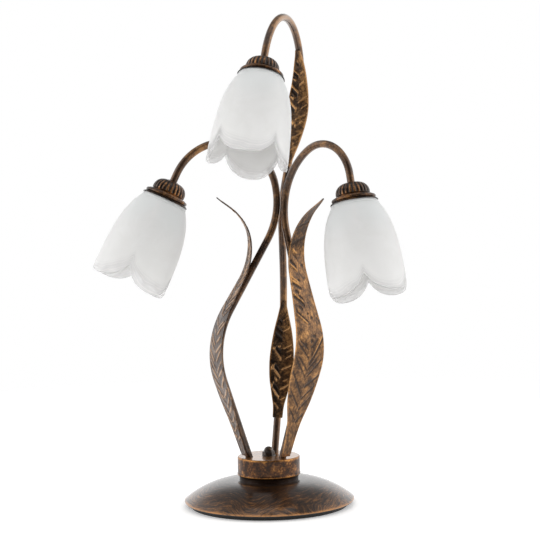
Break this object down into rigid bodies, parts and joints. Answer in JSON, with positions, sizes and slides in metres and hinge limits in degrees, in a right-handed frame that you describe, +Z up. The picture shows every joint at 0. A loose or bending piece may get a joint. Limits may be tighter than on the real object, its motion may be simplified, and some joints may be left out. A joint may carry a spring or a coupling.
{
  "type": "table lamp",
  "caption": "Tulip shade table lamp with bent stem arms, embossed steel leaves, fluted cups and frosted glass shades on a weighted dome base",
  "frame": {"origin": "on the table, on the centre line of the round base", "axes": "+Z up along the base's centre line, +X to the viewer's right in the picture, +Y away from the viewer; the cord inlet is at the back on +Y"},
  "size_m": [0.3516, 0.2582, 0.5743],
  "materials": {
    "foot_rubber": "matte black rubber",
    "plain_steel": "zinc plated, dull",
    "weight_iron": "raw sand cast, oiled",
    "bronze_dark": "dark brown lacquer brushed with copper streaks, satin",
    "bronze_mottled": "brown lacquer sponged with copper gold, satin",
    "bronze_tube": "dark brown lacquer rubbed with gold along the tube, satin",
    "bronze_leaf_dark": "dark brown lacquer, embossed veins rubbed with gold",
    "bronze_leaf_gold": "golden brown lacquer, embossed veins, satin",
    "bronze_cup": "brown lacquer with copper rubbed on the flutes",
    "black_plastic": "matte black moulding",
    "pale_plastic": "matte off white moulding",
    "brass_parts": "bare stamped brass",
    "lead_sleeve": "pale sleeve over twin leads",
    "cap_metal": "nickel plated thread",
    "cap_insulator": "black insulator with a metal tip",
    "shade_glass": "white alabaster glass, frosted, clearer wisps at the petals",
    "bulb_opal": "opal white glass"
  },
  "bodies": {
    "lamp": {"foot_ring": "foot_rubber", "base_plate": "plain_steel", "plate_screws": "plain_steel", "base_weight": "weight_iron", "base_dome": "bronze_dark", "drum": "bronze_mottled", "centre_rod": "plain_steel", "base_washer": "plain_steel", "base_nut": "plain_steel", "cap_nut": "bronze_dark", "inlet_bush": "black_plastic", "cord_clamp": "pale_plastic", "clamp_screws": "plain_steel", "terminal_block": "pale_plastic", "terminal_screws": "brass_parts", "base_leads": "lead_sleeve", "arm_left": "bronze_tube", "arm_right": "bronze_tube", "arm_top": "bronze_tube", "leaf_left": "bronze_leaf_dark", "leaf_right": "bronze_leaf_gold", "leaf_lower": "bronze_leaf_dark", "leaf_upper": "bronze_leaf_dark", "lead_left": "lead_sleeve", "lead_right": "lead_sleeve", "lead_top": "lead_sleeve", "cup_left": "bronze_cup", "cup_right": "bronze_cup", "cup_top": "bronze_cup", "rim_left": "bronze_dark", "rim_right": "bronze_dark", "rim_top": "bronze_dark", "holder_left": "black_plastic", "holder_right": "black_plastic", "holder_top": "black_plastic", "socket_left": "brass_parts", "socket_right": "brass_parts", "socket_top": "brass_parts", "contact_left": "brass_parts", "contact_right": "brass_parts", "contact_top": "brass_parts", "shade_ring_left": "black_plastic", "shade_ring_right": "black_plastic", "shade_ring_top": "black_plastic", "shade_left": "shade_glass", "shade_right": "shade_glass", "shade_top": "shade_glass"},
    "bulb_left_travel": {"bulb_foot_left": "cap_insulator"},
    "bulb_left": {"bulb_cap_left": "cap_metal", "bulb_glass_left": "bulb_opal"},
    "bulb_right_travel": {"bulb_foot_right": "cap_insulator"},
    "bulb_right": {"bulb_cap_right": "cap_metal", "bulb_glass_right": "bulb_opal"},
    "bulb_top_travel": {"bulb_foot_top": "cap_insulator"},
    "bulb_top": {"bulb_cap_top": "cap_metal", "bulb_glass_top": "bulb_opal"}
  },
  "joints": [
    {"name": "bulb_left_out", "type": "slide", "parent": "lamp", "child": "bulb_left_travel", "axis": [-0.4242, -0.1131, -0.8985], "range_m": [0, 0.0142]},
    {"name": "bulb_left_turn", "type": "hinge", "parent": "bulb_left_travel", "child": "bulb_left", "pos_m": [-0.10254, -0.04228, 0.38359], "axis": [-0.4242, -0.1131, -0.8985], "range_deg": [0, 1800]},
    {"name": "bulb_right_out", "type": "slide", "parent": "lamp", "child": "bulb_right_travel", "axis": [0.1304, -0.2081, -0.9694], "range_m": [0, 0.0142]},
    {"name": "bulb_right_turn", "type": "hinge", "parent": "bulb_right_travel", "child": "bulb_right", "pos_m": [0.09803, -0.08791, 0.37929], "axis": [0.1304, -0.2081, -0.9694], "range_deg": [0, 1800]},
    {"name": "bulb_top_out", "type": "slide", "parent": "lamp", "child": "bulb_top_travel", "axis": [-0.1666, -0.3567, -0.9192], "range_m": [0, 0.0142]},
    {"name": "bulb_top_turn", "type": "hinge", "parent": "bulb_top_travel", "child": "bulb_top", "pos_m": [0.00361, -0.06718, 0.51959], "axis": [-0.1666, -0.3567, -0.9192], "range_deg": [0, 1800]}
  ],
  "couplings": [
    {"joint": "bulb_left_out", "follows": "bulb_left_turn", "m_per_rad": 0.00044882},
    {"joint": "bulb_right_out", "follows": "bulb_right_turn", "m_per_rad": 0.00044882},
    {"joint": "bulb_top_out", "follows": "bulb_top_turn", "m_per_rad": 0.00044882}
  ]
}
